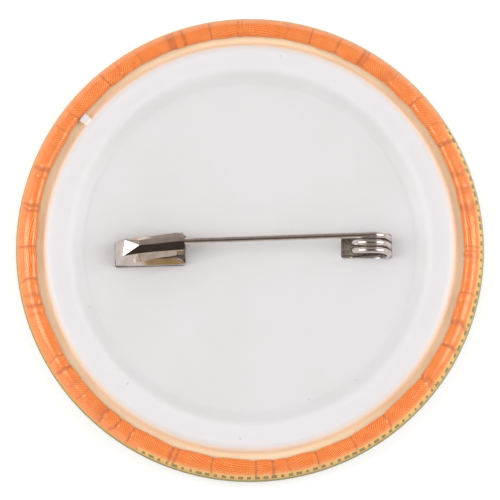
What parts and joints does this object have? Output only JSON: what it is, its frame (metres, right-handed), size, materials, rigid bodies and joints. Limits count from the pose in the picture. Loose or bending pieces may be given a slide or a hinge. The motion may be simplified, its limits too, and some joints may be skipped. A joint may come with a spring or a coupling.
{
  "type": "button badge",
  "caption": "Round pressed button badge with a wrapped printed face, a white plastic back plate and a safety pin that swings open.",
  "frame": {"origin": "middle of the front's flat centre, which is also the bottom centre of the badge lying on its front", "axes": "+Z from the front to the back, +X along the pin from the cap to the coil, +Y across the pin to the cap's closed side"},
  "size_m": [0.058, 0.058, 0.0084],
  "materials": {
    "clear_film": "clear glossy polyester film over orange print",
    "printed_paper": "printed coated paper",
    "tinplate": "plain tinplate",
    "white_plastic": "semi-gloss moulded white plastic",
    "cap_sheet": "nickel-plated steel sheet",
    "pin_wire": "nickel-plated spring wire"
  },
  "bodies": {
    "badge": {"clear_film": "clear_film", "printed_disc": "printed_paper", "front_shell": "tinplate", "back_plate": "white_plastic", "pin_cap": "cap_sheet", "pin_fixed_arm": "pin_wire"},
    "coil": {"pin_coil": "pin_wire"},
    "needle": {"pin_needle": "pin_wire"}
  },
  "joints": [
    {"name": "needle_swing", "type": "hinge", "parent": "badge", "child": "coil", "pos_m": [0.0149, 0, 0.00543], "axis": [0, 1, 0], "range_deg": [0, 50], "deforming": ["pin_coil"]},
    {"name": "needle_unhook", "type": "hinge", "parent": "coil", "child": "needle", "pos_m": [0.0149, 0.00118, 0.00758], "axis": [0, -0.4472, 0.8944], "range_deg": [0, 6], "stiffness_Nm_per_rad": 0.005}
  ]
}
